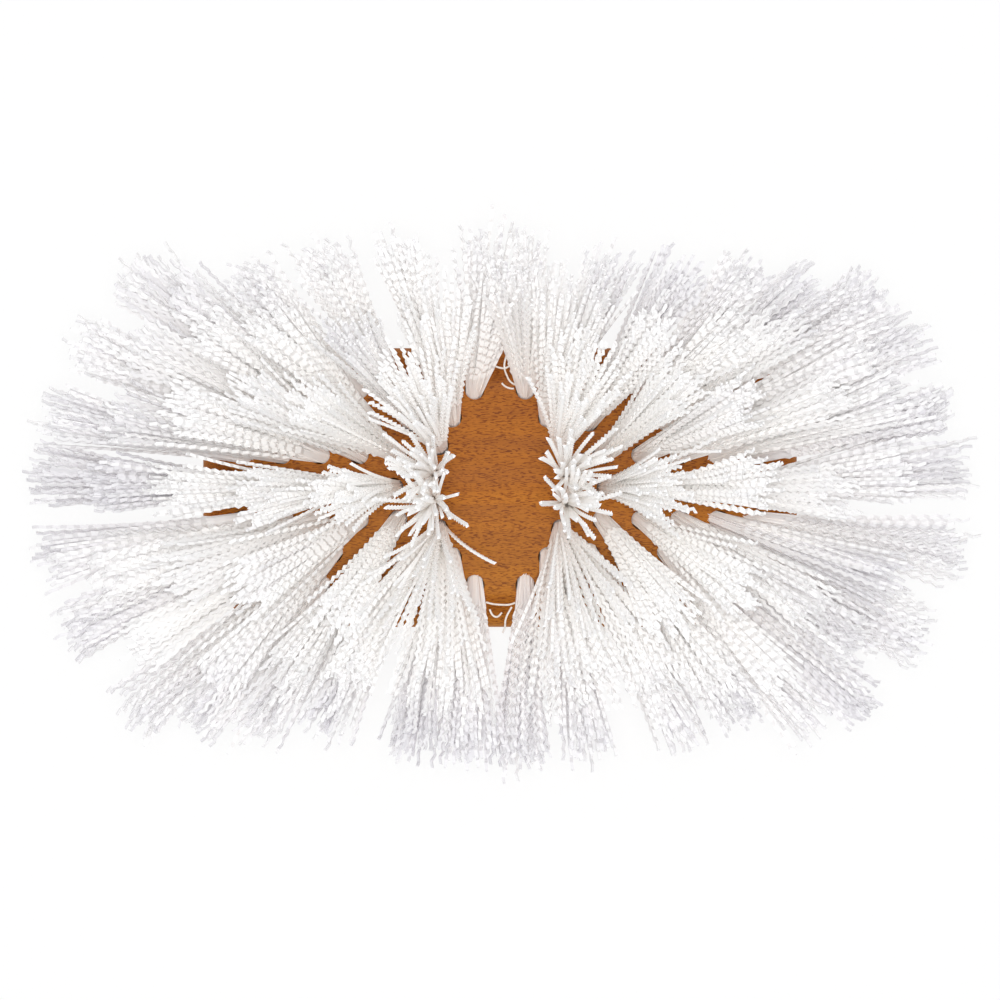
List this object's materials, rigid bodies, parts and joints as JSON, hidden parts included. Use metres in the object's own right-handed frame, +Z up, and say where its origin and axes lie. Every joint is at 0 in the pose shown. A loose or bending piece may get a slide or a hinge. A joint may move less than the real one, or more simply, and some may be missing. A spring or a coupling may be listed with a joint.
{
  "type": "deck brush head",
  "caption": "Wooden deck brush head: an oblong beech block with a slanting handle socket in its back and fanned tufts of stiff white crimped bristle.",
  "frame": {"origin": "middle of the flat back that the brush head lies on", "axes": "+X along the block, +Y across it, +Z up from the back through the bristles"},
  "size_m": [0.3012, 0.1706, 0.1021],
  "materials": {
    "beech": "varnished",
    "bristle": "satin"
  },
  "bodies": {
    "root": {"block": "beech", "inner_tufts_right": "bristle", "inner_tufts_left": "bristle", "outer_tufts_right": "bristle", "outer_tufts_left": "bristle"}
  },
  "joints": []
}
